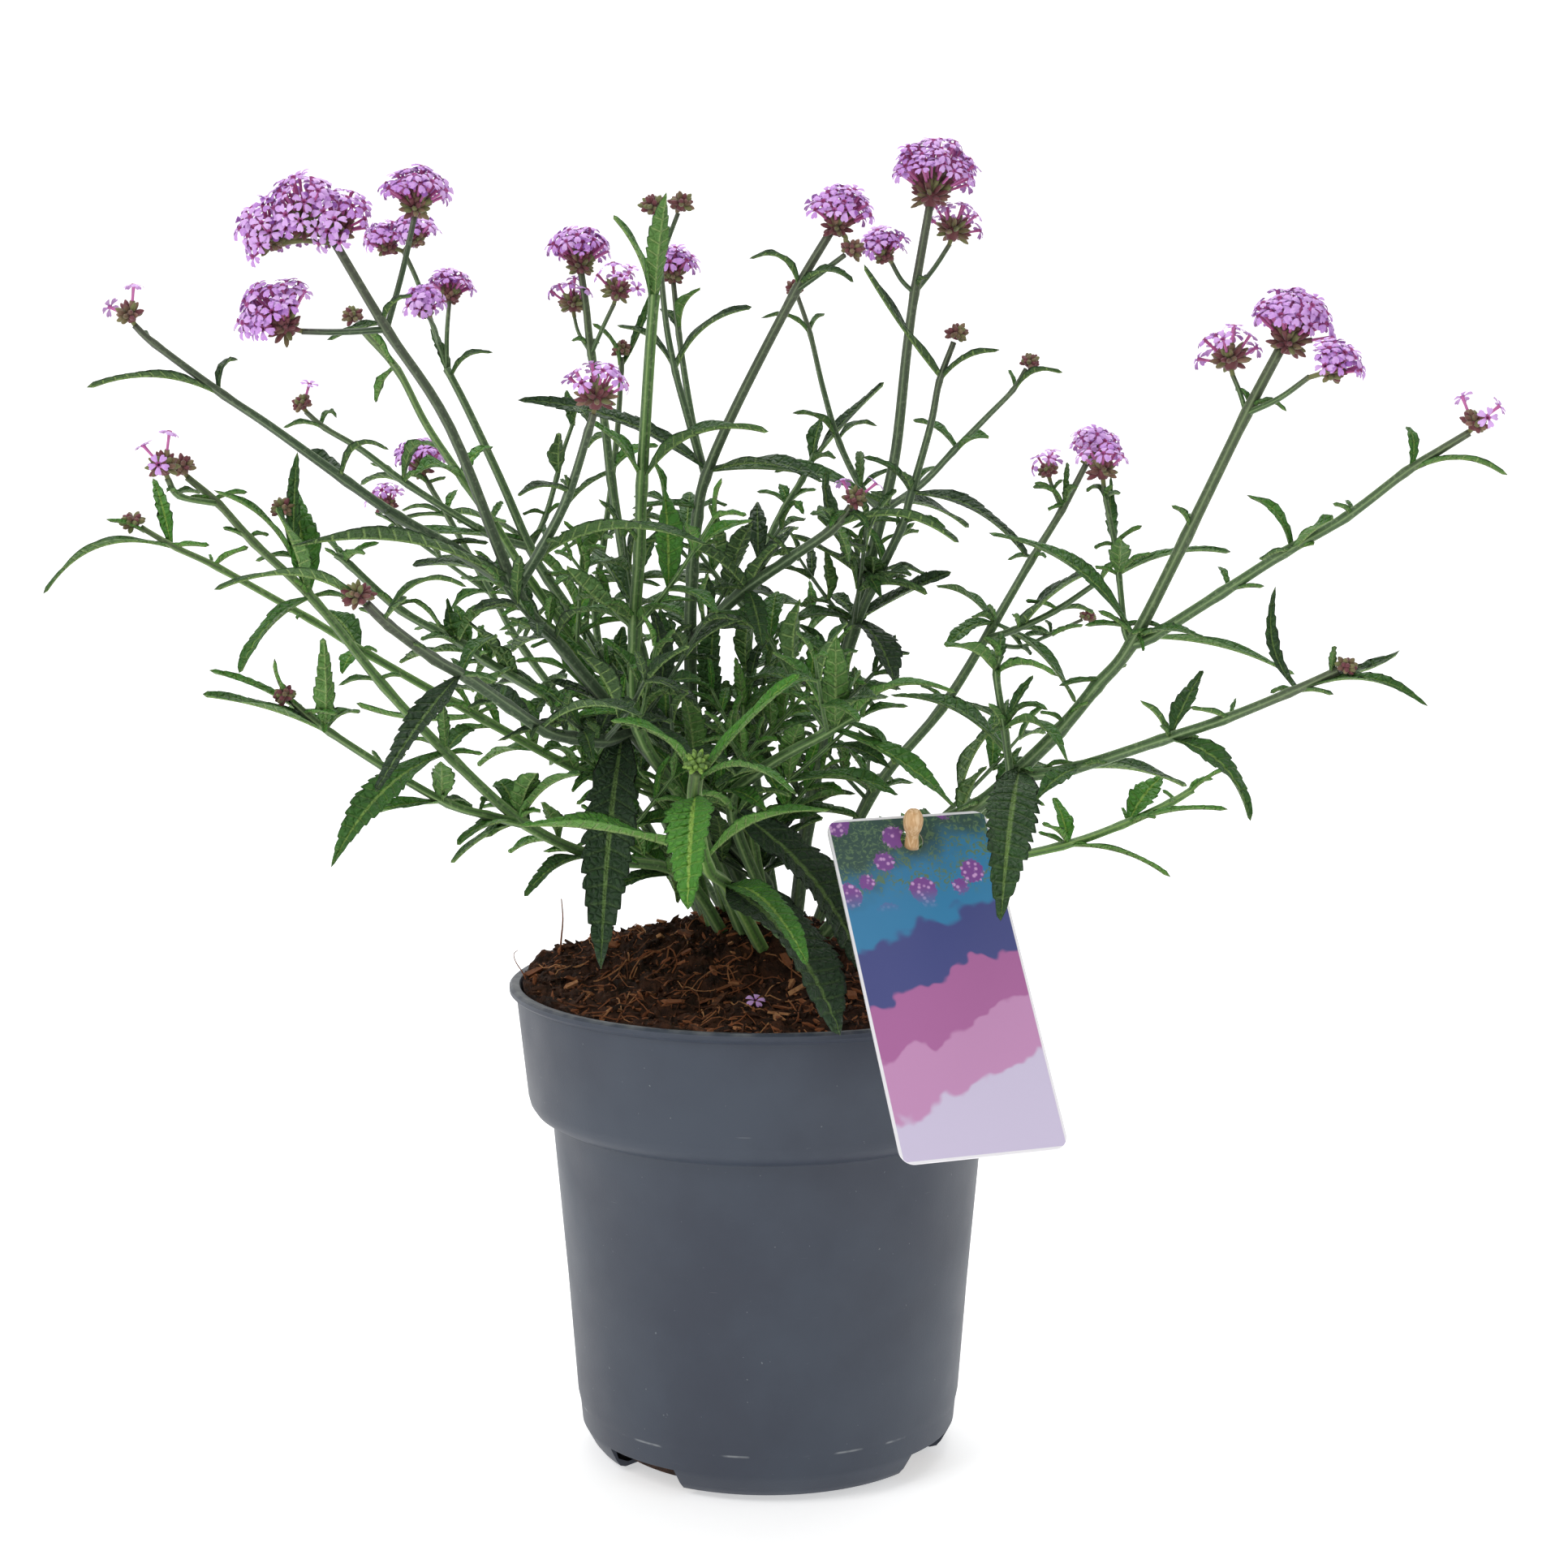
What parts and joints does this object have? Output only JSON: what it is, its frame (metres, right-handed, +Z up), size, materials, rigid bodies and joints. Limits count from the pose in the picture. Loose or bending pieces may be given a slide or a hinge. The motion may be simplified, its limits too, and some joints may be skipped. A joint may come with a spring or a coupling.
{
  "type": "potted verbena plant",
  "caption": "Branching purple verbena with toothed leaves and domed flower heads, in a round collared nursery pot of soil with a card label hung on a wooden pick",
  "frame": {"origin": "centre of the flat underside of the pot, on the surface it stands on", "axes": "+Z up along the pot's axis, the label hangs on the -Y side, +X to its right"},
  "size_m": [0.487, 0.2813, 0.4853],
  "materials": {
    "pot_plastic": "matt slate grey moulded plastic, pale and dusty at the lip",
    "soil_mix": "dark crumbly peat and coir",
    "label_card": "printed plastic card, satin",
    "pick_wood": "pale turned wood",
    "leafy_green": "dull hairy green leaf and stem",
    "petal_lilac": "soft lilac petals over maroon calyces"
  },
  "bodies": {
    "root": {"head_back_far_left_1": "petal_lilac", "head_back_far_left_2": "petal_lilac", "head_back_left_1": "petal_lilac", "head_back_left_2": "petal_lilac", "head_back_left_3": "petal_lilac", "head_centre_1": "petal_lilac", "head_centre_2": "petal_lilac", "head_centre_3": "petal_lilac", "head_left_back_1": "petal_lilac", "head_left_back_2": "petal_lilac", "head_left_back_3": "petal_lilac", "head_left_back_4": "petal_lilac", "head_left_low_1": "petal_lilac", "head_left_low_2": "petal_lilac", "head_left_tall_1": "petal_lilac", "head_left_tall_2": "petal_lilac", "head_left_tall_3": "petal_lilac", "head_left_tall_4": "petal_lilac", "head_left_tall_5": "petal_lilac", "head_right_arm_1": "petal_lilac", "head_right_arm_2": "petal_lilac", "head_right_arm_3": "petal_lilac", "head_right_arm_4": "petal_lilac", "head_right_arm_5": "petal_lilac", "head_right_back_1": "petal_lilac", "head_right_back_2": "petal_lilac", "head_right_tall_1": "petal_lilac", "head_right_tall_2": "petal_lilac", "head_right_tall_3": "petal_lilac", "label": "label_card", "label_pick": "pick_wood", "pot": "pot_plastic", "shoot_back_bud": "leafy_green", "shoot_back_far_left": "leafy_green", "shoot_back_left": "leafy_green", "shoot_back_slim": "leafy_green", "shoot_centre": "leafy_green", "shoot_centre_low": "leafy_green", "shoot_front": "leafy_green", "shoot_front_right": "leafy_green", "shoot_front_tall": "leafy_green", "shoot_left_arm": "leafy_green", "shoot_left_back": "leafy_green", "shoot_left_low": "leafy_green", "shoot_left_mid": "leafy_green", "shoot_left_slim": "leafy_green", "shoot_left_tall": "leafy_green", "shoot_right_arm": "leafy_green", "shoot_right_back": "leafy_green", "shoot_right_low": "leafy_green", "shoot_right_tall": "leafy_green", "soil": "soil_mix"}
  },
  "joints": []
}
